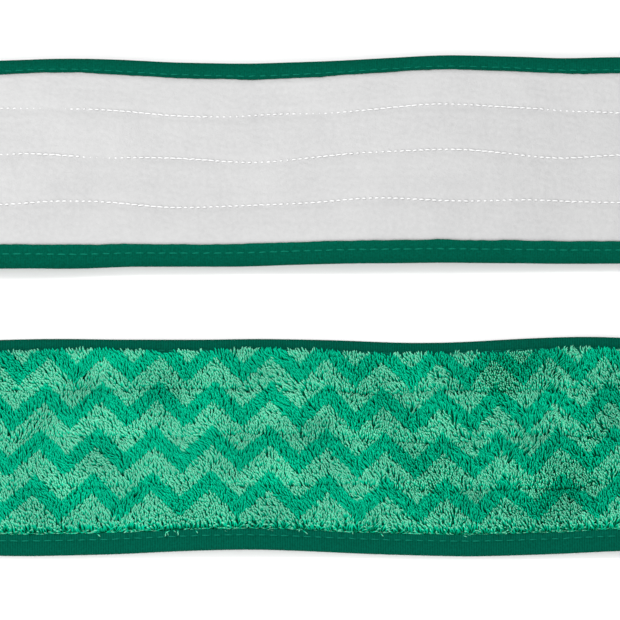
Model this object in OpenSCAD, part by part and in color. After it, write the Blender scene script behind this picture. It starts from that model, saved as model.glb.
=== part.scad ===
// A pair of flat mop pads, one lying face down and one lying face up.
// Each pad is a sewn sandwich: loop backing, absorbent core and a ground cloth that carries a
// two-tone chevron pile, quilted in three rows and bound round its edge with folded tape.
// A pad is drawn in its own frame: u along its length, v across its width and w from the
// binding's back face (w = 0) up to the tips of the pile. The row frame has +Z up.

/* [Pad] */
// Length of one pad over its binding
pad_length = 457; // [300:1:1220]
// Width of one pad over its binding
pad_width = 130; // [120:1:160]
// Radius of the pad's corners, over the binding
corner_r = 25; // [20:1:40]
// Free space between the two pads as they lie
pad_gap = 46; // [10:1:200]

/* [Layers] */
// Thickness of the backing's base cloth
backing_t = 0.6; // [0.4:0.1:1.5]
// How far the backing's loops stand above its base cloth
loop_t = 0.5; // [0.2:0.1:0.8]
// Thickness of the absorbent felt core
core_t = 2; // [1:0.1:6]
// Thickness of the knitted cloth that holds the pile
ground_t = 0.8; // [0.5:0.1:1.5]
// Height of the pile above its ground cloth
pile_h = 7.5; // [5:0.1:12]

/* [Binding] */
// Thickness of the binding tape
tape_t = 0.9; // [0.8:0.1:1.5]
// Width of tape showing on each face of the pad
tape_leg = 11; // [8:0.5:15]
// Rounding of the tape's folded edge
tape_edge_r = 1.2; // [0.5:0.1:1.5]
// Distance from the tape's inner edge to its row of stitches
tape_seam_in = 2.5; // [2:0.1:4]

/* [Quilting] */
// Distance between the rows of quilting
quilt_pitch = 29.5; // [22:0.5:34]
// Width of the groove that each quilting row pulls into the cloth
quilt_groove = 1.6; // [1.2:0.1:3]
// Thickness of the crushed pile left under a quilting row
crushed_pile = 0.8; // [0.5:0.1:2]
// Rounding of the pile's shoulders beside each groove
shoulder_r = 3.5; // [1:0.1:4]

/* [Stitches] */
// Thickness of the sewing thread as it lies
thread_d = 0.5; // [0.3:0.05:0.6]
// Length of one quilting stitch, needle hole to needle hole
quilt_stitch = 3.5; // [3:0.1:6]
// Length of one binding stitch, needle hole to needle hole
tape_stitch = 6.1; // [4:0.1:8]
// Share of each stitch that lies on the surface
stitch_shown = 0.7; // [0.5:0.05:0.9]

/* [Chevron] */
// Length of one zigzag
chevron_pitch = 31.3; // [20:0.1:45]
// Height of a zigzag, from trough to peak
chevron_rise = 16.5; // [8:0.5:20]
// Share of each zigzag that climbs to its peak
chevron_climb = 0.5; // [0.4:0.05:0.6]
// Where one peak lies along the pad, measured from its middle
chevron_peak = 9.5; // [-15:0.1:15]
// Distance between neighbouring dark stripes, across the pad
stripe_pitch = 27.6; // [25:0.1:34]
// Width of a dark stripe, across the pad
stripe_w = 12.5; // [6:0.5:14]
// Where the first dark stripe runs, measured from the middle of the pad
stripe_start = 48; // [40:0.5:55]

/* [Hidden] */

TAPE_GREEN = [0.0, 0.35, 0.27];
THREAD_GREEN = [0.0, 0.45, 0.35];
LIGHT_GREEN = [0.42, 0.84, 0.64];
DARK_GREEN = [0.0, 0.68, 0.51];
GROUND_GREEN = [0.05, 0.42, 0.32];
LOOP_WHITE = [0.88, 0.88, 0.88];
THREAD_WHITE = [0.97, 0.97, 0.97];
FELT_WHITE = [0.93, 0.93, 0.9];

// Levels through the pad, from the binding's back face up
base_w = tape_t;                    // back of the backing's base cloth
core_w = base_w + backing_t;
ground_w = core_w + core_t;
pile_w = ground_w + ground_t;       // where the pile leaves its ground cloth
bound_t = pile_w + tape_t;          // thickness over the binding
pad_t = pile_w + pile_h;            // thickness over the pile

inner_r = corner_r - tape_leg;      // corner radius of the tape's inner edge
seam_r = inner_r + tape_seam_in;    // corner radius of the binding's row of stitches
seam_groove = thread_d + 0.4;       // width of the dent that row pulls into the tape
loop_gap = 0.3;                     // gap between the raised loops and the tape
skin = 0.1;                         // reach of a cutting tool past the face that it cuts
pad_offset = (pad_width + pad_gap) / 2;
$fn = 48;

// ---- Outlines ----

// A rectangle with round corners, centred on the pad
module round_outline(length, width, r) {
  square([length - 2 * r, width], center = true);
  square([length, width - 2 * r], center = true);
  for (u = [-1, 1], v = [-1, 1])
    translate([u * (length / 2 - r), v * (width / 2 - r)]) circle(r);
}

// The pad's outline drawn in by a distance
module inset_outline(inset) {
  round_outline(pad_length - 2 * inset, pad_width - 2 * inset, corner_r - inset);
}

// A flat cloth cut to the pad's outline less inset
module cloth(inset, low, high) {
  translate([0, 0, low]) linear_extrude(high - low) inset_outline(inset);
}

// Carries a profile (x outwards from the corner's centre, y up) once round the pad
module round_the_edge() {
  straight_u = pad_length - 2 * corner_r;
  straight_v = pad_width - 2 * corner_r;
  for (turn = [0, 180]) {
    rotate(turn) translate([0, straight_v / 2, 0])
      rotate([90, 0, 90]) linear_extrude(straight_u, center = true) children();
    rotate(turn + 90) translate([0, straight_u / 2, 0])
      rotate([90, 0, 90]) linear_extrude(straight_v, center = true) children();
  }
  for (u = [-1, 1], v = [-1, 1])
    translate([u * straight_u / 2, v * straight_v / 2, 0])
      rotate(u > 0 ? (v > 0 ? 0 : 270) : (v > 0 ? 90 : 180))
        rotate_extrude(angle = 90) children();
}

// ---- Layers ----

// Base cloth with a raised field of loops between the quilting rows
module backing() {
  color(LOOP_WHITE) difference() {
    union() {
      cloth(tape_t, base_w, core_w);
      cloth(tape_leg + loop_gap, base_w - loop_t, base_w + backing_t / 2);
    }
    for (row = [-1:1])
      translate([-pad_length / 2, row * quilt_pitch - quilt_groove / 2, base_w - loop_t - skin])
        cube([pad_length, quilt_groove, loop_t + skin]);
  }
}

module core() {
  color(FELT_WHITE) cloth(tape_t, core_w, ground_w);
}

module ground_cloth() {
  color(GROUND_GREEN) cloth(tape_t, ground_w, pile_w);
}

// ---- Pile ----

// One quilted channel of pile in section, from v0 to v1
module channel_profile(v0, v1) {
  translate([v0, 0]) square([v1 - v0, pile_h - shoulder_r]);
  translate([v0 + shoulder_r, 0]) square([v1 - v0 - 2 * shoulder_r, pile_h]);
  for (v = [v0 + shoulder_r, v1 - shoulder_r])
    translate([v, pile_h - shoulder_r]) circle(shoulder_r);
}

// Section across the pile: four channels on a base of crushed pile
module pile_profile() {
  half = pad_width / 2 - tape_leg;
  seams = [-half, -quilt_pitch, 0, quilt_pitch, half];
  translate([-half, 0]) square([2 * half, crushed_pile]);
  for (i = [0:3])
    channel_profile(seams[i] + (i > 0 ? quilt_groove / 2 : 0),
                    seams[i + 1] - (i < 3 ? quilt_groove / 2 : 0));
}

module pile_block() {
  intersection() {
    cloth(tape_leg, pile_w, pad_t);
    translate([0, 0, pile_w]) rotate([90, 0, 90])
      linear_extrude(pad_length, center = true) pile_profile();
  }
}

// Points of a zigzag line through v, from left to right past both ends of the pad
function zigzag(v) = [
  for (i = [-ceil(pad_length / chevron_pitch / 2) - 1 : ceil(pad_length / chevron_pitch / 2) + 1],
       climb = [0, 1])
    [chevron_peak + (i + (climb - 1) * chevron_climb) * chevron_pitch,
     v + (climb - 0.5) * chevron_rise]
];

function reversed(points) = [for (i = [len(points) - 1 : -1 : 0]) points[i]];

// Number of the last stripe whose middle still lies within the pile, the first being 0
last_stripe = floor((stripe_start + pad_width / 2 - tape_leg) / stripe_pitch);

module dark_stripes() {
  for (i = [0 : last_stripe]) {
    v = stripe_start - i * stripe_pitch;
    translate([0, 0, pile_w - skin]) linear_extrude(pile_h + 2 * skin)
      polygon(concat(zigzag(v - stripe_w / 2), reversed(zigzag(v + stripe_w / 2))));
  }
}

module light_pile() {
  color(LIGHT_GREEN) difference() {
    pile_block();
    dark_stripes();
  }
}

module dark_pile() {
  color(DARK_GREEN) intersection() {
    pile_block();
    dark_stripes();
  }
}

// ---- Binding ----

// The folded tape in section: two legs and a rounded fold, dented where it is sewn
module tape_profile() {
  r = tape_edge_r;
  difference() {
    translate([inner_r, 0]) {
      square([tape_leg - r, bound_t]);
      translate([0, r]) square([tape_leg, bound_t - 2 * r]);
      for (w = [r, bound_t - r])
        translate([tape_leg - r, w]) circle(r);
    }
    translate([inner_r - skin, tape_t])
      square([tape_leg - tape_t + skin, bound_t - 2 * tape_t]);
    for (w = [-skin, bound_t - thread_d])
      translate([seam_r - seam_groove / 2, w]) square([seam_groove, thread_d + skin]);
  }
}

module binding_tape() {
  color(TAPE_GREEN) round_the_edge() tape_profile();
}

// ---- Stitches ----

// One stitch lying along x
module stitch(length) {
  rotate([0, 90, 0]) cylinder(h = length * stitch_shown, d = thread_d, center = true, $fn = 16);
}

// A straight row of quilting: row -1, 0 or 1, its thread lying at level w
module quilt_row(row, w) {
  run = pad_length - 2 * tape_leg - 2 * quilt_stitch;
  count = floor(run / quilt_stitch);
  for (i = [0 : count - 1])
    translate([(i - (count - 1) / 2) * quilt_stitch, row * quilt_pitch, w])
      stitch(quilt_stitch);
}

module quilt_row_back(row) {
  color(THREAD_WHITE) quilt_row(row, base_w - thread_d / 2);
}

module quilt_row_face(row) {
  color(THREAD_GREEN) quilt_row(row, pile_w + crushed_pile + thread_d / 2);
}

// The binding's seam: half of it, one long side and the round end on its right
seam_u = pad_length - 2 * corner_r;
seam_v = pad_width - 2 * corner_r;
seam_arc = PI / 2 * seam_r;
half_seam = seam_u + seam_v + 2 * seam_arc;
half_count = round(half_seam / tape_stitch);

// [u, v, heading] on the seam at distance s from the start of the long side, going clockwise
function seam_at(s) =
  s < seam_u ? [s - seam_u / 2, seam_v / 2 + seam_r, 0]
  : s < seam_u + seam_arc ? seam_turn((s - seam_u) / seam_arc * 90, seam_v / 2)
  : s < seam_u + seam_arc + seam_v
    ? [seam_u / 2 + seam_r, seam_v / 2 - (s - seam_u - seam_arc), -90]
  : seam_turn(90 + (s - seam_u - seam_arc - seam_v) / seam_arc * 90, -seam_v / 2);

function seam_turn(turned, v) =
  [seam_u / 2 + seam_r * sin(turned), v + seam_r * cos(turned), -turned];

module binding_stitches(w) {
  color(THREAD_GREEN)
    for (side = [0, 180], i = [0 : half_count - 1]) {
      at = seam_at((i + 0.5) * half_seam / half_count);
      rotate(side) translate([at[0], at[1], w]) rotate(at[2]) stitch(tape_stitch);
    }
}

module binding_stitches_back() {
  binding_stitches(thread_d / 2);
}

module binding_stitches_face() {
  binding_stitches(bound_t - thread_d / 2);
}

// ---- The two pads as they lie ----

// Pile up, nearer the viewer
module face_up() {
  translate([0, -pad_offset, 0]) children();
}

// Turned over about its long axis, so that its backing shows
module face_down() {
  translate([0, pad_offset, pad_t]) rotate([180, 0, 0]) children();
}

face_down() backing();  // face_down_backing
face_down() core();  // face_down_core
face_down() ground_cloth();  // face_down_ground_cloth
face_down() light_pile();  // face_down_light_pile
face_down() dark_pile();  // face_down_dark_pile
face_down() binding_tape();  // face_down_binding_tape
face_down() binding_stitches_back();  // face_down_binding_stitches_back
face_down() binding_stitches_face();  // face_down_binding_stitches_face
face_down() quilt_row_back(-1);  // face_down_quilt_row_1_back
face_down() quilt_row_back(0);  // face_down_quilt_row_2_back
face_down() quilt_row_back(1);  // face_down_quilt_row_3_back
face_down() quilt_row_face(-1);  // face_down_quilt_row_1_face
face_down() quilt_row_face(0);  // face_down_quilt_row_2_face
face_down() quilt_row_face(1);  // face_down_quilt_row_3_face
face_up() backing();  // face_up_backing
face_up() core();  // face_up_core
face_up() ground_cloth();  // face_up_ground_cloth
face_up() light_pile();  // face_up_light_pile
face_up() dark_pile();  // face_up_dark_pile
face_up() binding_tape();  // face_up_binding_tape
face_up() binding_stitches_back();  // face_up_binding_stitches_back
face_up() binding_stitches_face();  // face_up_binding_stitches_face
face_up() quilt_row_back(-1);  // face_up_quilt_row_1_back
face_up() quilt_row_back(0);  // face_up_quilt_row_2_back
face_up() quilt_row_back(1);  // face_up_quilt_row_3_back
face_up() quilt_row_face(-1);  // face_up_quilt_row_1_face
face_up() quilt_row_face(0);  // face_up_quilt_row_2_face
face_up() quilt_row_face(1);  // face_up_quilt_row_3_face
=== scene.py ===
"""A pair of flat mop pads as they lie: one face down with its loop backing showing, one face up
with its two-tone chevron pile showing. Everything is in metres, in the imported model's frame."""
import math

import bpy
import numpy as np
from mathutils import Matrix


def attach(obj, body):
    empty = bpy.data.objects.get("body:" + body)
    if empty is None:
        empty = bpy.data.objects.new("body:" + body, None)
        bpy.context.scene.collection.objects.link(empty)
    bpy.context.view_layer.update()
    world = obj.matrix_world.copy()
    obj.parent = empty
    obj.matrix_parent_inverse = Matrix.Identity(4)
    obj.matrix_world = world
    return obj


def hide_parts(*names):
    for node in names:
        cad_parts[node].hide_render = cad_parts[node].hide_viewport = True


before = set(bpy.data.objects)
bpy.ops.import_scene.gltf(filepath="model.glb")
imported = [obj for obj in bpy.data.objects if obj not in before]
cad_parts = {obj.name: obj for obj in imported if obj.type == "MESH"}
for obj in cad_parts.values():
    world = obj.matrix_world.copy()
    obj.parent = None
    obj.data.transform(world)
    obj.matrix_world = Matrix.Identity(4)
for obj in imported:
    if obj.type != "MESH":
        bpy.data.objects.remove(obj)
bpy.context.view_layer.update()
scene = bpy.context.scene

# ---- Camera, light and floor ----
# A long lens looks down on the middle of both pads from the front. Their ends are out of view.
# One soft lamp hangs behind and to the left, a larger one in front, and a white room fills in.

camera_elevation = math.radians(62)
camera_distance = 7.0
view_width = 0.3392                      # width of the floor that the camera sees
aim = (0.0, -0.0052, 0.006)
sensor_mm = 36

camera_data = bpy.data.cameras.new("camera")
camera_data.sensor_width = sensor_mm
camera_data.lens = sensor_mm * camera_distance / view_width
camera_data.clip_end = 20
camera = bpy.data.objects.new("camera", camera_data)
camera.location = (aim[0], aim[1] - camera_distance * math.cos(camera_elevation),
                   aim[2] + camera_distance * math.sin(camera_elevation))
camera.rotation_euler = (math.pi / 2 - camera_elevation, 0, 0)
scene.collection.objects.link(camera)
scene.camera = camera


def soft_lamp(name, size, power, place, target=(0, 0, 0)):
    """A square area lamp at place, turned towards target."""
    data = bpy.data.lights.new(name, "AREA")
    data.shape, data.size, data.energy = "SQUARE", size, power
    lamp = bpy.data.objects.new(name, data)
    lamp.location = place
    away = np.subtract(place, target)
    lamp.rotation_euler = (math.atan2(math.hypot(away[0], away[1]), away[2]), 0,
                           math.atan2(away[1], away[0]) + math.pi / 2)
    scene.collection.objects.link(lamp)


soft_lamp("key_lamp", 0.6, 11.5, (-0.5, 0.6, 1.5))
soft_lamp("fill_lamp", 1.2, 23, (-0.55, -1.1, 1.1))

room = bpy.data.worlds.new("white_room")
room.use_nodes = True
room.node_tree.nodes["Background"].inputs["Color"].default_value = (1, 1, 1, 1)
room.node_tree.nodes["Background"].inputs["Strength"].default_value = 0.74
scene.world = room
scene.view_settings.view_transform = "Standard"

floor_half, floor_tone = 4, 0.90
floor_material = bpy.data.materials.new("pale_floor")
floor_material.use_nodes = True
paint = floor_material.node_tree.nodes["Principled BSDF"].inputs
paint["Base Color"].default_value = (floor_tone, floor_tone, floor_tone, 1)
paint["Roughness"].default_value = 0.9
paint["Specular IOR Level"].default_value = 0.1
floor_mesh = bpy.data.meshes.new("floor")
floor_mesh.from_pydata([(x * floor_half, y * floor_half, 0)
                        for x, y in ((-1, -1), (1, -1), (1, 1), (-1, 1))], [], [(0, 1, 2, 3)])
floor_mesh.materials.append(floor_material)
floor = bpy.data.objects.new("floor", floor_mesh)
scene.collection.objects.link(floor)

# ---- Backings ----
# Each pad's back is a white cloth brushed into a nap of fine loops, which a frame's hooks hold.
# It is cut to the pad's outline, sewn down in three quilting rows and bound over at its edge.
# It is the first layer, so it also settles how a pad lies: every later layer follows it.

pads = ("face_down", "face_up")
pad_y = {"face_up": -0.088, "face_down": 0.088}
pad_length, pad_width, corner_r = 0.457, 0.130, 0.025
pad_t, bound_t = 0.0118, 0.0052         # thickness over the pile, and over the binding
tape_t, tape_leg = 0.0009, 0.011        # the tape's thickness, and how far it laps each face
# Levels above the pad's back at which the backing, core, ground cloth and pile begin.
base_w, core_w, ground_w, pile_w = 0.0009, 0.0015, 0.0035, 0.0043
layer_gap = 0.00002
quilt_rows = (-0.0295, 0.0, 0.0295)
quilt_pull = 0.0034                     # how far from a row its thread still draws the cloth in
wave_length = {"face_up": 0.235, "face_down": 0.220}
wave_lift = {"face_up": 0.0013, "face_down": 0.0022}
floor_press = 0.0006                    # below this level the floor eases a pad's waves out


def field(u, v, size, seed):
    """A smooth field of bumps about size across, with mean 0 and spread 1: the sum of plane
    waves, each a cosine of heading . (u, v) + phase, their headings and phases drawn from seed."""
    waves = 14
    draw = np.random.default_rng(seed)
    heading = draw.uniform(0, math.pi, waves)
    pace = 2 * math.pi / (size * draw.uniform(1.3, 2.7, waves))
    phase = draw.uniform(0, 2 * math.pi, waves)
    total = 0.0 * (u + v)
    for h, k, p in zip(heading, pace, phase):
        total = total + np.cos(k * (u * math.cos(h) + v * math.sin(h)) + p)
    return total / math.sqrt(waves / 2)


def step_up(x, low, high):
    """0 below low, 1 above high, and a smooth cubic between: 3 t^2 - 2 t^3."""
    t = np.clip((x - low) / (high - low), 0, 1)
    return t * t * (3 - 2 * t)


def edge_droop(v):
    """How far the face-down pad's front edge hangs below its middle, at v across the pad. It is
    turned over, so that its front edge is the one at positive v."""
    return 0.0040 * step_up(v, 0.042, 0.072)


def lie(pad, u, v, w):
    """Where the point at u along, v across and w above the back of the flat pad goes as the pad
    lies. The face-up pad keeps (u, v, w); the face-down one is turned over about its long axis.
    Then a slow wave along u lifts the pad by a (1 - cos) and shifts it sideways by b cos, where b
    changes with s, which runs across the pad from -1 at its front edge to 1 at its rear one, and
    each pad has a few small bends of its own, mostly in its front edge. A level z under
    floor_press would meet the floor, and is eased to floor_press exp(z / floor_press - 1)."""
    if pad == "face_up":
        side, level = v, w
        s = side / (pad_width / 2)
        wave = 2 * math.pi * (u - 0.060 + 0.024 * s) / wave_length[pad]
        lift = wave_lift[pad] * (1 - np.cos(wave))
        sway = -(0.0008 - 0.00045 * s) * np.cos(wave)
        sway = sway - 0.00045 * (1 + s) * np.cos(2 * math.pi * (u - 0.070) / 0.150)
        lumps = 0.00018 * field(u, v, 0.035, 5)
    else:
        side, level = -v, pad_t - w
        s = side / (pad_width / 2)
        wave = 2 * math.pi * (u + 0.045 - 0.014 * s) / wave_length[pad]
        lift = wave_lift[pad] * (1 - 0.55 * s * s) * (1 - np.cos(wave)) - edge_droop(v)
        sway = 0.009 * u - np.cos(wave) * (0.00175 + 0.0018 * s - 0.00095 * s * s - 0.0012 * s ** 3)
        sway = sway - 0.0003 - 0.0010 * (1 + s) ** 2
        sway = sway + 0.0010 * (1 + s) * step_up(u, 0.132, 0.175)
        sway = sway - 0.0017 * (0.5 - 0.5 * s) ** 4 * (1 - step_up(u, -0.145, -0.090))
        lumps = 0.00025 * field(u, v, 0.030, 6)
    z = level + lift + lumps
    z = np.where(z < floor_press, floor_press * np.exp(np.minimum(z / floor_press - 1, 0)), z)
    return np.stack([u + 0 * v, pad_y[pad] + side + sway, z], axis=-1)


def row_waver(u, row):
    """How far a quilting row strays sideways along the pad: two slow sines."""
    return 0.0007 * np.sin(u / 0.021 + 2.1 * row) + 0.0006 * np.sin(u / 0.0132 + 4 * row)


def quilt_puff(u, v):
    """0 on a quilting row and 1 away from it: the least of 1 - exp(-(distance / quilt_pull)^2)."""
    puff = 1.0 + 0 * (u + v)
    for i, row in enumerate(quilt_rows):
        off = (v - row - row_waver(u, i)) / quilt_pull
        puff = np.minimum(puff, 1 - np.exp(-off * off))
    return puff


def cut_cloth(inset, along, across):
    """u and v of a grid over a cloth cut to the pad's outline less inset. Columns run along the
    pad, closer together at its round corners, and each spans the outline's width there."""
    half_l, half_w, r = pad_length / 2 - inset, pad_width / 2 - inset, corner_r - inset
    turn = np.linspace(0, math.pi / 2, 12)[1:]
    ends = half_l - r + r * np.sin(turn)
    u = np.concatenate([-ends[::-1], np.linspace(r - half_l, half_l - r, along), ends])
    past = np.clip(np.abs(u) - (half_l - r), 0, r)
    half = half_w - r + np.sqrt(np.maximum(r * r - past * past, 0))
    share = np.linspace(-1, 1, across)
    return u[:, None] + 0 * share, half[:, None] * share


def shell_of(top, bottom):
    """A closed shell between two grids of points: one loop round each column, its top row and then
    its bottom row back, carried along the columns, with both end loops closed straight across."""
    points = np.concatenate([top, bottom[:, ::-1]], axis=1)
    columns, n = points.shape[:2]
    at = np.arange(columns * n).reshape(columns, n)
    nxt = np.roll(at, -1, axis=1)
    walls = np.stack([at[:-1], nxt[:-1], nxt[1:], at[1:]], axis=-1).reshape(-1, 4)
    k = np.arange(n // 2 - 1)
    cap = np.stack([k, k + 1, n - 2 - k, n - 1 - k], axis=-1)
    return points.reshape(-1, 3), [walls, cap[:, ::-1], cap + (columns - 1) * n]


def make_piece(name, pad, points, faces, material, replaced, creases=None):
    """Makes a mesh of points and arrays of faces, turned outwards by the sign of its volume,
    gives it its material, and lets it ride on its pad in the place of the CAD nodes replaced.
    Edges that bend by more than creases degrees stay sharp. Also says if it turned the faces."""
    loops = np.concatenate([f.ravel() for f in faces])
    counts = np.concatenate([np.full(len(f), f.shape[1]) for f in faces])
    fans = [(f[:, 0], f[:, k], f[:, k + 1]) for f in faces for k in range(1, f.shape[1] - 1)]
    volume = sum(np.einsum("ij,ij->", points[a], np.cross(points[b], points[c]))
                 for a, b, c in fans)
    if volume < 0:
        loops = np.concatenate([f[:, ::-1].ravel() for f in faces])
    mesh = bpy.data.meshes.new(name)
    mesh.vertices.add(len(points))
    mesh.vertices.foreach_set("co", np.ascontiguousarray(points, dtype=np.float32).ravel())
    mesh.loops.add(len(loops))
    mesh.loops.foreach_set("vertex_index", loops.astype(np.int32))
    mesh.polygons.add(len(counts))
    mesh.polygons.foreach_set("loop_start", (np.cumsum(counts) - counts).astype(np.int32))
    mesh.update(calc_edges=True)
    mesh.shade_smooth()
    if creases:
        mesh.set_sharp_from_angle(angle=math.radians(creases))
    mesh.materials.append(material)
    piece = bpy.data.objects.new(name, mesh)
    scene.collection.objects.link(piece)
    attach(piece, pad + "_pad")
    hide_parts(*[pad + "_" + node for node in replaced])
    return piece, volume < 0


class Finish:
    """A material that is built a node at a time. Each method adds a node and returns its output;
    a number or a colour passed to one is set on the node itself."""

    def __init__(self, name, roughness, specular, sheen=0.0):
        self.material = bpy.data.materials.new(name)
        self.material.use_nodes = True
        self.nodes = self.material.node_tree.nodes
        self.links = self.material.node_tree.links
        self.shader = self.nodes["Principled BSDF"].inputs
        self.shader["Roughness"].default_value = roughness
        self.shader["Specular IOR Level"].default_value = specular
        self.shader["Sheen Weight"].default_value = sheen
        self.shader["Sheen Roughness"].default_value = 0.5

    def put(self, socket, value):
        """Links an output to a socket, or sets a number or colour on it."""
        if isinstance(value, bpy.types.NodeSocket):
            self.links.new(value, socket)
        else:
            socket.default_value = value

    def place(self):
        """Object coordinates, in metres."""
        return self.nodes.new("ShaderNodeTexCoord").outputs["Object"]

    def attribute(self, name):
        """A value stored on the mesh's points."""
        node = self.nodes.new("ShaderNodeAttribute")
        node.attribute_name = name
        return node.outputs["Fac"]

    def noise(self, where, scale, detail=3.0, roughness=0.55):
        """Cloudy noise from 0 to 1, scale clouds to the metre."""
        node = self.nodes.new("ShaderNodeTexNoise")
        self.put(node.inputs["Vector"], where)
        self.put(node.inputs["Scale"], scale)
        self.put(node.inputs["Detail"], detail)
        self.put(node.inputs["Roughness"], roughness)
        return node.outputs["Fac"]

    def parts(self, vector):
        """The X, Y and Z of a vector, by name."""
        node = self.nodes.new("ShaderNodeSeparateXYZ")
        self.put(node.inputs["Vector"], vector)
        return node.outputs

    def ramp(self, share, *stops):
        """A colour that runs through stops, (place, colour) pairs, as share goes from 0 to 1."""
        node = self.nodes.new("ShaderNodeValToRGB")
        self.put(node.inputs["Fac"], share)
        spots = node.color_ramp.elements
        while len(spots) < len(stops):
            spots.new(0.5)
        for spot, (at, colour) in zip(spots, stops):
            spot.position = at
            spot.color = (*colour, 1)
        return node.outputs["Color"]

    def maths(self, operation, a, b=0.0, c=0.0):
        """A sum, product or other operation on up to three numbers."""
        node = self.nodes.new("ShaderNodeMath")
        node.operation = operation
        for socket, value in zip(node.inputs, (a, b, c)):
            self.put(socket, value)
        return node.outputs["Value"]

    def mix(self, share, a, b, blend="MIX"):
        """Colour b laid over colour a, by share."""
        node = self.nodes.new("ShaderNodeMix")
        node.data_type, node.blend_type = "RGBA", blend
        self.put(node.inputs["Factor"], share)
        for socket, value in ((node.inputs[6], a), (node.inputs[7], b)):
            self.put(socket, value if isinstance(value, bpy.types.NodeSocket) else (*value, 1))
        return node.outputs[2]

    def colour(self, value):
        """Gives the shader its colour."""
        self.put(self.shader["Base Color"], value)

    def bump(self, height, strength, distance):
        """Gives the surface relief from height, distance deep."""
        node = self.nodes.new("ShaderNodeBump")
        self.put(node.inputs["Height"], height)
        node.inputs["Strength"].default_value = strength
        node.inputs["Distance"].default_value = distance
        self.put(self.shader["Normal"], node.outputs["Normal"])


nap_depth = 0.00062                     # how far the nap stands out between quilting rows
nap = Finish("brushed_loops", roughness=0.95, specular=0.1, sheen=0.15)
clouds = nap.noise(nap.place(), 38, 4.0)
flecks = nap.noise(nap.place(), 420, 3.0)
fuzz = nap.noise(nap.place(), 1500, 4.0, 0.7)
# Painted shade: the backing's colour is multiplied down towards the front (low y), to 0.92 of full,
# as if lit from behind.
painted_front_shade = nap.ramp(nap.maths("MULTIPLY_ADD", nap.parts(nap.place())["Y"], 7.0, -0.1),
                  (0.0, (0.92, 0.92, 0.92)), (1.0, (1.0, 1.0, 1.0)))
cloth = nap.mix(nap.ramp(flecks, (0.35, (0, 0, 0)), (0.72, (0.5, 0.5, 0.5))),
                nap.ramp(clouds, (0.3, (0.468, 0.468, 0.470)), (0.7, (0.500, 0.500, 0.500))),
                (0.55, 0.55, 0.55))
nap.colour(nap.mix(1.0, cloth, painted_front_shade, "MULTIPLY"))
nap.bump(nap.maths("ADD", nap.maths("MULTIPLY", flecks, 0.6), fuzz), 0.5, 0.0006)

for pad in pads:
    u, v = cut_cloth(tape_t, 280, 110)
    showing = step_up(pad_width / 2 - tape_leg - np.abs(v), -0.0004, 0.0034) \
        * step_up(pad_length / 2 - tape_leg - np.abs(u), -0.0004, 0.0034)
    nap_bumps = 0.00007 * field(u, v, 0.0022, 11) + 0.00005 * field(u, v, 0.0065, 12)
    back = base_w - layer_gap + showing * (-nap_depth * quilt_puff(u, v) + nap_bumps)
    points, faces = shell_of(lie(pad, u, v, core_w + 0 * u), lie(pad, u, v, back))
    backing, _ = make_piece(pad + "_loop_backing", pad, points, faces, nap.material,
                            ["backing"], creases=50)

# ---- Cores ----
# The absorbent middle of each pad is a soft white needle felt, cut to the same outline. It is
# held by the quilting and shut in by the binding, so nothing of it shows.

felt = Finish("needle_felt", roughness=0.95, specular=0.1)
matted = felt.noise(felt.place(), 260, 5.0, 0.65)
felt.colour(felt.ramp(matted, (0.3, (0.62, 0.62, 0.59)), (0.7, (0.74, 0.74, 0.71))))
felt.bump(matted, 0.6, 0.0005)

for pad in pads:
    u, v = cut_cloth(tape_t, 100, 40)
    points, faces = shell_of(lie(pad, u, v, ground_w - layer_gap + 0 * u),
                             lie(pad, u, v, core_w + layer_gap + 0 * u))
    slab, _ = make_piece(pad + "_felt_core", pad, points, faces, felt.material, ["core"],
                         creases=50)

# ---- Ground cloths ----
# A green knit that the pile's yarn is worked through, coloured darker than the yarn: partly its own
# colour, partly painted shade for the gaps. It shows only in the gaps between tufts and along the
# quilting rows.

knit = Finish("ground_knit", roughness=0.9, specular=0.02)
courses = knit.noise(knit.place(), 700, 2.0)
# Painted shade: the knit's green is darker than the yarn's roots, as the shade deep between tufts.
knit.colour(knit.ramp(courses, (0.3, (0.0, 0.34, 0.17)), (0.7, (0.0, 0.48, 0.25))))
knit.bump(courses, 0.6, 0.0004)

for pad in pads:
    u, v = cut_cloth(tape_t, 180, 70)
    puff = -0.00015 + 0.0001 * field(u, v, 0.004, 21)
    points, faces = shell_of(lie(pad, u, v, pile_w + np.minimum(puff, 0)),
                             lie(pad, u, v, ground_w + 0 * u))
    ground, _ = make_piece(pad + "_ground_knit", pad, points, faces, knit.material,
                           ["ground_cloth"], creases=50)

# ---- Piles ----
# Tufts of split microfibre yarn, light green with dark green chevrons across the pad. Each tuft
# is one bent, tapered strand with its root in the ground knit. Brushing and use have laid the
# tufts over in slow swirls, mostly away from the front edge, and the quilting parts them in rows.

chevron_pitch, chevron_rise, chevron_climb, chevron_peak = 0.0313, 0.0165, 0.5, 0.0095
stripe_start, stripe_pitch, stripe_w = 0.048, 0.0276, 0.0125
field_u, field_v = pad_length / 2 - tape_leg, pad_width / 2 - tape_leg
field_r = corner_r - tape_leg


def in_dark_stripe(u, v):
    """True where the chevron's dark stripes run: the zigzag climbs by chevron_rise over its
    first share of each pitch and falls over the rest, and a stripe spans stripe_w about it."""
    along = np.mod((u - chevron_peak) / chevron_pitch + chevron_climb, 1)
    climb = np.where(along < chevron_climb, along / chevron_climb,
                     (1 - along) / (1 - chevron_climb))
    below = stripe_start - (v - (climb - 0.5) * chevron_rise)
    near = np.abs(below - stripe_pitch * np.round(below / stripe_pitch))
    return (near < stripe_w / 2) & (np.abs(below / stripe_pitch - 1.5) < 2)


def before_pull(pad, u, v):
    """Where the yarn at (u, v) was knitted. The face-up pad's knit has been pulled out of true: u
    is spread towards its front edge, by a share that is linear in v, and v goes up or down by a
    slow sine of u."""
    if pad == "face_down":
        return u, v
    return u / (1.001 - 0.70 * v), v + 0.0010 * np.sin(u / 0.055)


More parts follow.
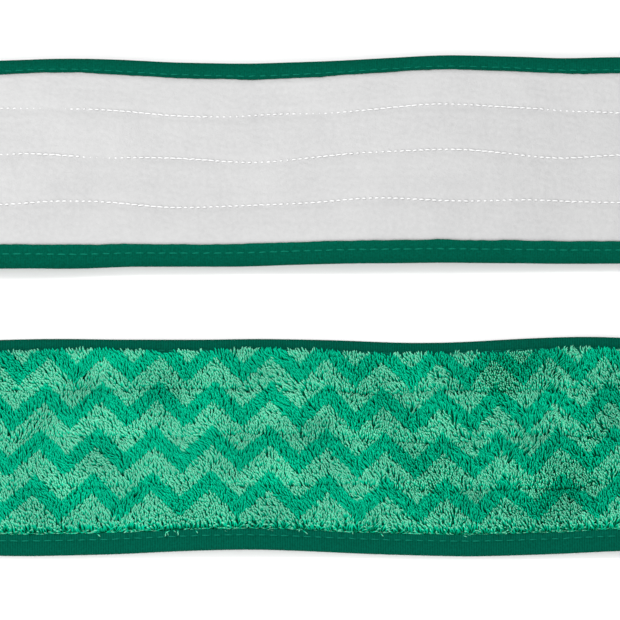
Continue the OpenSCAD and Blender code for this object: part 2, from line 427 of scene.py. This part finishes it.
def room_to_edge(u, v):
    """Distance from (u, v) to the edge of the pile's field, a rectangle with round corners:
    field_r less the length of the part of (|u|, |v|) past the inner rectangle."""
    past_u = np.abs(u) - (field_u - field_r)
    past_v = np.abs(v) - (field_v - field_r)
    outside = np.hypot(np.maximum(past_u, 0), np.maximum(past_v, 0))
    return field_r - outside - np.minimum(np.maximum(past_u, past_v), 0)


def scatter_roots(pitch, seed):
    """Roots on a staggered grid, each moved at random by up to a share of the pitch, kept where
    they are in the pile's field and off the quilting rows."""
    row_share, spread, edge_room, row_room = 0.92, 0.36, 0.0006, 0.0004
    draw = np.random.default_rng(seed)
    rows = np.arange(-field_v, field_v, pitch * row_share)
    columns = np.arange(-field_u, field_u, pitch)
    v, u = np.meshgrid(rows, columns, indexing="ij")
    u = u + pitch * 0.5 * (np.arange(len(rows)) % 2)[:, None]
    u = (u + draw.uniform(-spread, spread, u.shape) * pitch).ravel()
    v = (v + draw.uniform(-spread, spread, v.shape) * pitch).ravel()
    off_rows = np.min([np.abs(v - row - row_waver(u, i)) for i, row in enumerate(quilt_rows)],
                      axis=0)
    keep = (room_to_edge(u, v) > edge_room) & (off_rows > row_room)
    return u[keep], v[keep], off_rows[keep], draw


def strands(u, v, height, reach, heading, curl, thick, sides, marks):
    """Bent tapered tubes in the pad's frame. The centre line of each is the curve
    root + reach t^1.7 along its heading and height (1 - (1 - t)^1.6) upwards, with a sideways
    curl sin(pi t), and a ring of points stands square to it at each t in marks, which pairs t
    with the ring's share of the strand's girth."""
    t = marks[:, 0][:, None]
    girth = marks[:, 1][:, None] * thick
    cos_h, sin_h = np.cos(heading), np.sin(heading)
    out = reach * t ** 1.7
    up = height * (1 - (1 - t) ** 1.6)
    d_out = reach * 1.7 * t ** 0.7 + 1e-5
    d_up = height * 1.6 * (1 - t) ** 0.6 + 1e-4
    length = np.hypot(d_out, d_up)
    d_out, d_up = d_out / length, d_up / length
    aside = curl * np.sin(math.pi * t)
    turn = 2 * math.pi * np.arange(sides) / sides
    across = girth[..., None] * np.cos(turn)
    along = girth[..., None] * np.sin(turn)
    flat = out[..., None] - along * d_up[..., None]
    rise = up[..., None] + along * d_out[..., None]
    side = aside[..., None] + across
    pu = u[:, None] + flat * cos_h[:, None] - side * sin_h[:, None]
    pv = v[:, None] + flat * sin_h[:, None] + side * cos_h[:, None]
    return pu.swapaxes(0, 1), pv.swapaxes(0, 1), rise.swapaxes(0, 1)


def strand_faces(count, rings, sides):
    """Faces of count tubes of rings x sides points: quads round each, and one face to close
    each end."""
    at = np.arange(count * rings * sides).reshape(count, rings, sides)
    nxt = np.roll(at, -1, axis=2)
    walls = np.stack([at[:, :-1], nxt[:, :-1], nxt[:, 1:], at[:, 1:]], axis=-1).reshape(-1, 4)
    return [walls, at[:, 0, ::-1], at[:, -1]]


def strand_map(count, rings, sides, flipped):
    """A map that gives each tube its own cell of a square: round the tube across the cell, and
    root to tip up it. Its end faces take thin strips at the cell's foot and head."""
    margin, strip = 0.06, 0.12
    per_side = math.ceil(math.sqrt(count))
    cell = np.arange(count)
    corner = np.stack([cell % per_side, cell // per_side], axis=-1).astype(float)
    k, r = np.meshgrid(np.arange(sides), np.arange(rings - 1))
    wall = np.stack([np.stack([k, r], -1), np.stack([k + 1, r], -1),
                     np.stack([k + 1, r + 1], -1), np.stack([k, r + 1], -1)], axis=-2)
    wall = np.stack([margin + (1 - 2 * margin) * wall[..., 0] / sides,
                     strip + (1 - 2 * strip) * wall[..., 1] / (rings - 1)],
                    axis=-1).reshape(-1, 4, 2)
    ring = np.arange(sides) * 2 * math.pi / sides
    disc = np.stack([0.5 + 0.42 * np.cos(ring), 0.05 + 0.04 * np.sin(ring)], axis=-1)
    foot, head = disc[::-1], disc + (0, 0.9)
    parts = []
    for shape in (wall, foot[None], head[None]):
        spread = (corner[:, None, None] + shape) / per_side
        if flipped:
            spread = spread[:, :, ::-1]
        parts.append(spread.reshape(-1, 2))
    return np.concatenate(parts)


def yarn(name, root, middle, tip):
    """Microfibre yarn: its root colour is painted shade, darker and less red than the tip, for the
    shade between tufts; it runs through middle to its tip, and is a little lighter or darker from
    tuft to tuft."""
    finish = Finish(name, roughness=0.8, specular=0.03)
    # Painted shade: the colour darkens from tip to root along each tuft.
    body = finish.ramp(finish.attribute("along"), (0.0, root), (0.70, middle), (1.0, tip))
    shade = finish.ramp(finish.attribute("tint"), (0.0, (0.62, 0.62, 0.62)), (1.0, (1.0, 1.0, 1.0)))
    finish.colour(finish.mix(1.0, body, shade, "MULTIPLY"))
    finish.bump(finish.noise(finish.place(), 1600, 2.0), 0.35, 0.0003)
    return finish


# The roots are painted darker and less red than the tips, as shade deep in the pile.
light_yarn = yarn("light_yarn", (0.0, 0.56, 0.28), (0.0, 0.57, 0.32), (0.225, 0.70, 0.475))
dark_yarn = yarn("dark_yarn", (0.0, 0.50, 0.25), (0.0, 0.49, 0.265), (0.0, 0.53, 0.295))


def edge_path(s):
    """Points and inward directions on the pad's outline at distance s along it, starting at the
    middle of the right-hand end and going round anticlockwise: four straights and four arcs."""
    run_u, run_v = pad_length - 2 * corner_r, pad_width - 2 * corner_r
    arc = math.pi / 2 * corner_r
    corners = [(1, 1), (-1, 1), (-1, -1), (1, -1)]
    s = np.mod(s, 2 * run_u + 2 * run_v + 4 * arc)
    u, v = s * 0 + pad_length / 2, np.minimum(s, run_v / 2)
    angle = s * 0.0
    start = run_v / 2
    for i, (cu, cv) in enumerate(corners):
        turned = np.clip((s - start) / corner_r, 0, math.pi / 2)
        here = s > start
        begin = i * math.pi / 2
        a = begin + turned
        u = np.where(here, cu * run_u / 2 + corner_r * np.cos(a), u)
        v = np.where(here, cv * run_v / 2 + corner_r * np.sin(a), v)
        angle = np.where(here, a, angle)
        start += arc
        run = (run_u, run_v, run_u, run_v / 2)[i]
        moved = np.clip(s - start, 0, run)
        u = u - np.sin(begin + math.pi / 2) * moved
        v = v + np.cos(begin + math.pi / 2) * moved
        start += run
    return u, v, -np.cos(angle), -np.sin(angle)


path_length = 2 * (pad_length + pad_width - 4 * corner_r) + 2 * math.pi * corner_r
tuft_reach, tuft_height, lay_angle = 0.0024, 0.0066, math.radians(112)
edge_yarn_pitch, stray_place = 0.0016, -0.072
root_depth = 0.0004                     # how far the roots are sunk in the ground cloth
dark_girth = 0.92                       # the dark yarn's girth, as a share of the light one's


def grow_tufts(pad, pitch, thick, seed):
    """The pile's tufts: a row each of their places u and v, heading, reach, height, curl, girth
    and tint. Heading and reach come from slow fields, a seam or an edge parts or holds the tufts
    down, and each gets a small random turn of its own. Towards one end the pile is more worn:
    thinner, more upright and uneven, and drawn into clumps."""
    u, v, off_rows, draw = scatter_roots(pitch, seed)
    away = 1 if pad == "face_up" else -1
    n = len(u)
    swirl = 0.30 * field(u, v, 0.030, seed + 1) + 0.20 * field(u, v, 0.012, seed + 2)
    worn = step_up(u, -0.06, 0.12)
    clump = (0.20 + 0.25 * worn) * field(u, v, 0.0045, seed + 3)
    in_front = np.exp(-room_to_edge(u, v) / 0.0030) * (away * v < 0)
    heading = away * (lay_angle + swirl + clump) + draw.normal(0, 0.22, n)
    heading = heading + in_front * draw.normal(0, 1.5, n)
    lying = field(u, v, 0.038, seed + 4)
    reach = tuft_reach + 0.0006 * lying + 0.0007 * (1 - worn) + draw.normal(0, 0.0004, n)
    height = tuft_height - 0.0003 * lying - 0.0005 * (1 - worn)
    height = height + draw.normal(0, 1, n) * (0.00028 + 0.00016 * worn)
    by_seam = np.exp(-(off_rows / 0.0022) ** 2)
    height = height * (1 - (0.20 + 0.22 * worn) * by_seam)
    by_edge = np.exp(-room_to_edge(u, v) / 0.0016)
    height = height * (1 - 0.30 * by_edge)
    reach = reach + 0.0014 * by_edge * (away * v > 0)
    if pad == "face_down":
        height = np.minimum(height, pad_t - pile_w - edge_droop(v) - 0.0006)
    curl = draw.normal(0, 0.0003, n)
    girth = thick * draw.uniform(0.85, 1.15, n) * (1.20 - 0.22 * worn)
    tint = np.clip(0.44 + 0.07 * worn + (0.15 + 0.10 * worn) * draw.normal(0, 1, n)
                   + 0.12 * field(u, v, 0.02, seed + 5), 0, 1)
    return np.array([u, v, heading, reach, height, curl, girth, tint]), draw


def edge_yarn(thick, draw):
    """The outermost yarn, which the tape's seam has caught: most of it lies flat along the edge,
    and a few ends have strayed out over the tape, most of them about stray_place on the front.
    The rows are the same as for the tufts."""
    m = int(path_length / edge_yarn_pitch)
    s = (np.arange(m) + draw.uniform(0, 0.9, m)) * path_length / m
    u, v, iu, iv = edge_path(s)
    inset = tape_leg + draw.uniform(0.0002, 0.0011, m)
    at_tuft = np.exp(-((u - stray_place) / 0.009) ** 2) * (v < 0)
    stray = draw.uniform(0, 1, m) < 0.02 + 0.9 * at_tuft
    out_turn = np.where(draw.uniform(0, 1, m) < 0.5, 0.0, math.pi) + draw.normal(0, 0.16, m)
    heading = np.where(stray, np.arctan2(-iv, -iu) + draw.normal(0, 0.5, m),
                       np.arctan2(iv, iu) + math.pi / 2 + out_turn)
    reach = np.where(stray, 0.0038, 0.0042) + draw.normal(0, 0.0007, m)
    height = np.where(stray, 0.0022, 0.0013) + draw.uniform(0, 0.0005, m)
    curl = draw.normal(0, 0.0003, m)
    girth = thick * draw.uniform(0.8, 1.3, m)
    tint = draw.uniform(0.2, 0.7, m)
    return np.array([u + iu * inset, v + iv * inset, heading, reach, height, curl, girth, tint])


def make_tufts(pad, pitch, thick, sides, marks, seed):
    """The pieces of one pad's pile. A tuft is dark where its tip would be in a dark stripe of the
    knit, and each colour is cut into lots by where its roots are."""
    pile, draw = grow_tufts(pad, pitch, thick, seed)
    edge = edge_yarn(thick, draw)
    u, v, heading, reach, height, curl, girth, tint = np.concatenate([pile, edge], axis=1)
    caught = np.arange(len(u)) >= pile.shape[1]
    dark = ~caught & in_dark_stripe(*before_pull(pad, u + 0.8 * reach * np.cos(heading),
                                                 v + 0.8 * reach * np.sin(heading)))
    left, front = u < 0, v < 0
    lots = [("light", ~dark & front & left, "_1"), ("light", ~dark & front & ~left, "_2"),
            ("light", ~dark & ~front & left, "_3"), ("light", ~dark & ~front & ~left, "_4"),
            ("dark", dark & left, "_1"), ("dark", dark & ~left, "_2")]
    for tone, lot, part in lots:
        pu, pv, rise = strands(u[lot], v[lot], height[lot], reach[lot], heading[lot], curl[lot],
                               girth[lot] * (1.0 if tone == "light" else dark_girth), sides, marks)
        points = lie(pad, pu, pv, pile_w - root_depth + rise).reshape(-1, 3)
        count, rings = int(lot.sum()), len(marks)
        material = (light_yarn if tone == "light" else dark_yarn).material
        tufts, flipped = make_piece(pad + "_" + tone + "_tufts" + part, pad, points,
                                    strand_faces(count, rings, sides), material,
                                    [tone + "_pile"])
        mesh = tufts.data
        along = np.broadcast_to(marks[:, 0][None, :, None], (count, rings, sides))
        tints = np.broadcast_to(tint[lot][:, None, None], (count, rings, sides))
        for name, values in (("along", along), ("tint", tints)):
            layer = mesh.attributes.new(name, "FLOAT", "POINT")
            layer.data.foreach_set("value", np.ascontiguousarray(values, np.float32).ravel())
        spots = strand_map(count, rings, sides, flipped)
        cells = mesh.uv_layers.new(name="OFBake")
        cells.uv.foreach_set("vector", spots.astype(np.float32).ravel())


make_tufts("face_up", 0.00116, 0.00045, 3,
           np.array([(0.0, 0.75), (0.5, 1.0), (0.85, 0.95), (1.0, 0.45)]), 100)
make_tufts("face_down", 0.0028, 0.00080, 3,
           np.array([(0.0, 0.8), (0.5, 1.0), (0.85, 0.95), (1.0, 0.5)]), 200)

# ---- Bindings ----
# A dark green ribbed tape, folded in half over the raw edges of all the layers and carried once
# round the pad. Its ends lap on one short side.

rib_pitch = 0.00133
tape_green = Finish("ribbed_tape", roughness=0.8, specular=0.015)
weave = tape_green.nodes.new("ShaderNodeUVMap")
weave.uv_map = "weave"
split = tape_green.parts(weave.outputs["UV"])
ribs = tape_green.maths("SINE", tape_green.maths("MULTIPLY", split["X"], 2 * math.pi / rib_pitch))
grain = tape_green.noise(tape_green.place(), 900, 3.0)
crisp = tape_green.ramp(tape_green.maths("MULTIPLY", split["Y"], 30),
                        (0.34, (0.04, 0.04, 0.04)), (0.42, (0.17, 0.17, 0.17)))
tone = tape_green.maths("ADD", tape_green.maths("MULTIPLY", ribs, crisp), grain)
fold_at = 0.0124                        # the fold's place across the tape
from_fold = tape_green.maths("ABSOLUTE", tape_green.maths("SUBTRACT", split["Y"], fold_at))
# Painted shade: the tape is darkened towards its outer fold, to 0.82 of full at the fold itself.
painted_fold_shade = tape_green.ramp(tape_green.maths("DIVIDE", from_fold, fold_at), (0.0, (0.82, 0.82, 0.82)),
                          (0.38, (0.92, 0.92, 0.92)), (0.74, (0.97, 0.97, 0.97)),
                          (0.9, (1.0, 1.0, 1.0)))
tape_green.colour(tape_green.mix(1.0, tape_green.ramp(
    tone, (0.25, (0.0, 0.056, 0.033)), (0.75, (0.0, 0.092, 0.057))), painted_fold_shade, "MULTIPLY"))
tape_green.bump(tape_green.maths("ADD", tape_green.maths("MULTIPLY", ribs, 0.7), grain), 0.5,
                0.0002)

tape_stitch = 0.0061


def seam_in(pad, v):
    """How far in from the outer edge the row of stitches runs. On the face-down pad it strays
    from its place with v."""
    return tape_leg - 0.0033 - (0.0013 * np.clip(v / 0.06, -1, 1) if pad == "face_down" else 0 * v)


def tape_section(legs, fold):
    """The folded tape in section, as (distance in from the outer edge, level): its outside from
    the back leg's inner edge round the fold to the face leg's, then its inside back again. The
    fold is half an ellipse."""
    reach, half = 0.0031, bound_t / 2
    turn = np.linspace(0, math.pi, fold)
    outside = np.concatenate([
        np.stack([np.linspace(tape_leg, reach, legs, endpoint=False), np.zeros(legs)], -1),
        np.stack([reach - reach * np.sin(turn), half - half * np.cos(turn)], -1),
        np.stack([np.linspace(reach, tape_leg, legs + 1)[1:], np.full(legs, bound_t)], -1)])
    inside = outside[::-1].copy()
    inside[:, 1] = half + (inside[:, 1] - half) * (half - tape_t) / half
    inside[:, 0] = np.maximum(inside[:, 0], tape_t + 0.25 * inside[:, 0])
    return outside, inside


tape_outside, tape_inside = tape_section(14, 15)


def carry_tape(pad, s, grow):
    """The tape's section carried along the edge at distances s, grown outwards by grow. The row of
    stitches draws it in: a dent at the seam, deepest at each needle hole, with the fold and the
    free inner edge puffed up beside it. The inner edges stray a little from a straight line."""
    section = np.concatenate([tape_outside, tape_inside])
    skin = np.concatenate([np.ones(len(tape_outside)), np.zeros(len(tape_inside))])
    q, w = section[:, 0][None, :], section[:, 1][None, :]
    pu, pv, iu, iv = [x[:, None] for x in edge_path(s)]
    stray = (0.00011 * field(s, s * 0, 0.014, 31) + 0.00006 * field(s, s * 0, 0.004, 32))[:, None]
    q = q + stray * step_up(q, 0.004, 0.011)
    hole = 0.5 + 0.5 * np.cos(2 * math.pi * s / tape_stitch)[:, None]
    past = q - seam_in(pad, pv)
    dent = (0.00030 + 0.00022 * hole) * np.exp(-(past / 0.0008) ** 2)
    puff = 0.00022 * np.exp(-((past + 0.0035) / 0.0026) ** 2) * (0.6 + 0.4 * hole)
    free_edge = 0.00060 * step_up(past, 0.0004, 0.0030)
    outwards = np.where(w > bound_t / 2, 1, -1) * skin
    w = w + outwards * (puff + free_edge + grow - dent)
    q = q - grow * skin * (1 - step_up(q, 0, 0.004))
    return pu + iu * q, pv + iv * q, w


def tube_faces(stations, n, closed):
    """Quads between loops of n points: all round the edge, or with both ends closed by quads
    across for a short length of tape."""
    at = np.arange(stations * n).reshape(stations, n)
    nxt = np.roll(at, -1, axis=1)
    ahead = np.roll(at, -1, axis=0), np.roll(nxt, -1, axis=0)
    walls = np.stack([at, nxt, ahead[1], ahead[0]], axis=-1)
    if closed:
        return [walls.reshape(-1, 4)]
    k = np.arange(n // 2 - 1)
    cap = np.stack([k, k + 1, n - 2 - k, n - 1 - k], axis=-1)
    return [walls[:-1].reshape(-1, 4), cap[:, ::-1], cap + (stations - 1) * n]


def make_tape(name, pad, s, closed, grow, replaced):
    """A length of folded tape at distances s round the pad, with a map in metres: the distance
    round the pad by the distance over the tape's own outside."""
    tu, tv, tw = carry_tape(pad, s, grow)
    stations, n = tu.shape
    piece, flipped = make_piece(name, pad, lie(pad, tu, tv, tw).reshape(-1, 3),
                                tube_faces(stations, n, closed), tape_green.material,
                                replaced, creases=60)
    over = np.append(0, np.cumsum(np.hypot(*np.diff(tape_outside, axis=0).T)))
    over = np.append(over, over[::-1])
    runs = stations if closed else stations - 1
    i, k = np.meshgrid(np.arange(runs), np.arange(n), indexing="ij")
    spots = np.stack([np.stack([s[0] + (i + a) * (s[1] - s[0]), over[(k + b) % n]], -1)
                      for a, b in ((0, 0), (0, 1), (1, 1), (1, 0))], axis=-2).reshape(-1, 4, 2)
    if flipped:
        spots = spots[:, ::-1]
    spots = np.append(spots.reshape(-1, 2), np.zeros((len(piece.data.loops) - spots.size // 2, 2)),
                      axis=0)
    piece.data.uv_layers.new(name="weave").uv.foreach_set("vector",
                                                          spots.astype(np.float32).ravel())
    return piece


lap_half, lap_grow = 0.0105, 0.0006     # half the lap's length, and its height over the tape
for pad in pads:
    stations = 1140
    tape = make_tape(pad + "_edge_tape", pad, np.arange(stations) * path_length / stations, True,
                     0.0, ["binding_tape"])
    lap = make_tape(pad + "_tape_lap", pad, np.linspace(-lap_half, lap_half, 23), False, lap_grow,
                    [])

# ---- Binding seams ----
# One row of green lockstitch holds both legs of the tape. Its threads lie in the dent that they
# draw into the tape, on the back and on the face, and dip at each needle hole.

green_thread = Finish("green_thread", roughness=0.6, specular=0.06)
twist = green_thread.noise(green_thread.place(), 2200, 2.0)
green_thread.colour(green_thread.ramp(twist, (0.3, (0.0, 0.110, 0.067)),
                                      (0.7, (0.001, 0.175, 0.112))))
seam_thread, seam_sunk, seam_dip = 0.00040, 0.00022, 0.00034


def stitch_tubes(u, v, heading, shown, level, outwards, thick, dip):
    """One short thread per stitch: five rings along its heading over the length shown, swelling
    to full thickness at its middle and dipping by dip at both ends."""
    t = np.array([-1, -0.62, 0, 0.62, 1])[None, :, None]
    girth = thick * np.array([0.35, 0.9, 1.0, 0.9, 0.35])[None, :, None]
    turn = (np.arange(6) * math.pi / 3)[None, None, :]
    run = 0.5 * shown[:, None, None] * t
    side = girth * np.cos(turn)
    w = level[:, None, None] + outwards * (girth * np.sin(turn) * 0.8 - dip * t * t)
    cu, cv = np.cos(heading)[:, None, None], np.sin(heading)[:, None, None]
    return u[:, None, None] + run * cu - side * cv, v[:, None, None] + run * cv + side * cu, w


for pad in pads:
    count = round(path_length / tape_stitch)
    s = (np.arange(count) + 0.5) * path_length / count
    draw = np.random.default_rng(41)
    pu, pv, iu, iv = edge_path(s)
    su, sv = pu + iu * seam_in(pad, pv), pv + iv * seam_in(pad, pv)
    heading = np.arctan2(iv, iu) + math.pi / 2 + draw.normal(0, 0.06, count)
    shown = tape_stitch * draw.uniform(0.68, 0.86, count)
    over_lap = lap_grow * (np.minimum(s, path_length - s) < lap_half)

    # Two short rows of tacks close the lap, square to the edge.
    tacks = np.arange(3)
    tack_in = 0.0032 + 0.0027 * np.tile(tacks, 2)
    tack_s = np.repeat([-0.0085, 0.0085], 3)
    tu, tv, ti, tj = edge_path(tack_s)
    su, sv = np.append(su, tu + ti * tack_in), np.append(sv, tv + tj * tack_in)
    heading = np.append(heading, np.arctan2(tj, ti) + draw.normal(0, 0.05, 6))
    shown = np.append(shown, np.full(6, 0.0022))
    over_lap = np.append(over_lap, np.full(6, lap_grow + 0.0003))
    count += 6
    for face, surface, outwards in (("back", seam_sunk, -1), ("face", bound_t - seam_sunk, 1)):
        level = surface + outwards * over_lap
        tu, tv, tw = stitch_tubes(su, sv, heading, shown, level, outwards, seam_thread, seam_dip)
        make_piece(pad + "_seam_thread_" + face, pad, lie(pad, tu, tv, tw).reshape(-1, 3),
                   strand_faces(count, 5, 6), green_thread.material,
                   ["binding_stitches_" + face])

# ---- Quilting rows ----
# Three rows of stitches hold the layers together along the pad: white thread lies in the nap of
# the back, where it sinks in and out of sight, and green thread under the pile.

white_thread = Finish("white_thread", roughness=0.5, specular=0.3)
ply = white_thread.noise(white_thread.place(), 2400, 2.0)
white_thread.colour(white_thread.ramp(ply, (0.3, (0.66, 0.66, 0.66)), (0.7, (0.74, 0.74, 0.74))))
quilt_stitch, quilt_thread, quilt_dip = 0.0035, 0.00050, 0.00030
tension_seeds = (395, 79, 327)          # where each row's thread lies tight, and where it sinks

for pad in pads:
    for i, row in enumerate(quilt_rows):
        half = pad_length / 2 - tape_leg - quilt_stitch
        count = int(2 * half / quilt_stitch)
        u = (np.arange(count) - (count - 1) / 2) * quilt_stitch
        v = row + row_waver(u, i)
        draw = np.random.default_rng(50 + i)
        heading = draw.normal(0, 0.09, count)
        tight = field(u, 0 * u, 0.028, tension_seeds[i])
        shown = quilt_stitch * np.clip(0.66 + 0.2 * tight + draw.normal(0, 0.10, count), 0.35, 1.08)
        sunk = 0.00045 * np.clip(-tight - 0.2, 0, 2)
        for face, level, outwards in (("back", base_w - 0.00048 + sunk, -1),
                                      ("face", pile_w + 0.0010 + 0 * u, 1)):
            tu, tv, tw = stitch_tubes(u, v, heading, shown, level, outwards, quilt_thread,
                                      quilt_dip)
            make_piece(f"{pad}_quilting_{i + 1}_{face}", pad, lie(pad, tu, tv, tw).reshape(-1, 3),
                       strand_faces(count, 5, 6),
                       (white_thread if face == "back" else green_thread).material,
                       [f"quilt_row_{i + 1}_{face}"])
